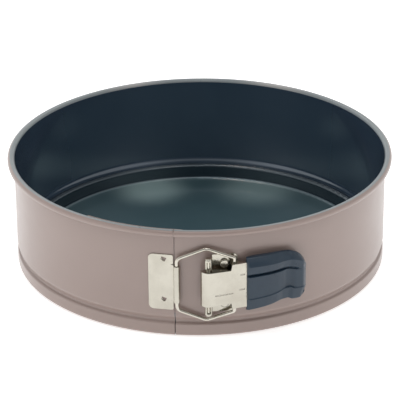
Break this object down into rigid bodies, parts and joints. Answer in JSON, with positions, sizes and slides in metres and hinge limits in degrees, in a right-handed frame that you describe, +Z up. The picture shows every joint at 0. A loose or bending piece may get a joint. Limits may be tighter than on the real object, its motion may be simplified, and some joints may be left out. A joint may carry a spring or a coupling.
{
  "type": "springform pan",
  "caption": "Round springform cake pan: sprung ring with rolled rim and bottom groove, loose base, and a bail clasp with a lever and moulded grip.",
  "frame": {"origin": "centre of the flat underside of the base, on the ring's axis, where the pan rests", "axes": "+Z up along the ring's axis, -Y towards the clasp at the front, +X towards the lever's grip"},
  "size_m": [0.2494, 0.256, 0.0732],
  "materials": {
    "ring_coating": "satin taupe non-stick coating outside, dark blue-grey inside",
    "base_coating": "satin dark blue-grey non-stick coating",
    "clasp_plate": "bright nickel-plated steel",
    "bail_wire": "bright nickel-plated wire",
    "lever_plate": "bright nickel-plated steel sheet",
    "grip": "matt dark blue-grey moulded plastic"
  },
  "bodies": {
    "back_arc": {"ring_back": "ring_coating"},
    "left_wing": {"ring_left": "ring_coating", "anchor_plate": "clasp_plate"},
    "right_wing": {"ring_right": "ring_coating", "bracket_plate": "clasp_plate", "bracket_rivets": "clasp_plate", "hinge_pin": "clasp_plate"},
    "lever": {"lever_plate": "lever_plate", "grip": "grip"},
    "bail": {"bail_wire": "bail_wire"},
    "base": {"base_disc": "base_coating"}
  },
  "joints": [
    {"name": "lever_swing", "type": "hinge", "parent": "right_wing", "child": "lever", "pos_m": [0.0047, -0.12641, 0.0371], "axis": [0, 0, -1], "range_deg": [0, 120]},
    {"name": "left_spring", "type": "hinge", "parent": "back_arc", "child": "left_wing", "pos_m": [-0.074, 0.10186, 0.036], "axis": [0, 0, -1], "range_deg": [0, 1.78]},
    {"name": "right_spring", "type": "hinge", "parent": "back_arc", "child": "right_wing", "pos_m": [0.074, 0.10186, 0.036], "axis": [0, 0, 1], "range_deg": [0, 1.78]},
    {"name": "bail_swing", "type": "hinge", "parent": "left_wing", "child": "bail", "pos_m": [-0.0145, -0.12239, 0.0371], "axis": [0, 0, -1], "range_deg": [0, 31.8]},
    {"name": "base_lift", "type": "slide", "parent": "back_arc", "child": "base", "axis": [0, 0, 1], "range_m": [0, 0.12]}
  ],
  "couplings": [
    {"joint": "left_spring", "follows": "lever_swing", "ratio": 0.0148},
    {"joint": "right_spring", "follows": "lever_swing", "ratio": 0.0148},
    {"joint": "bail_swing", "follows": "lever_swing", "ratio": 0.2648}
  ]
}
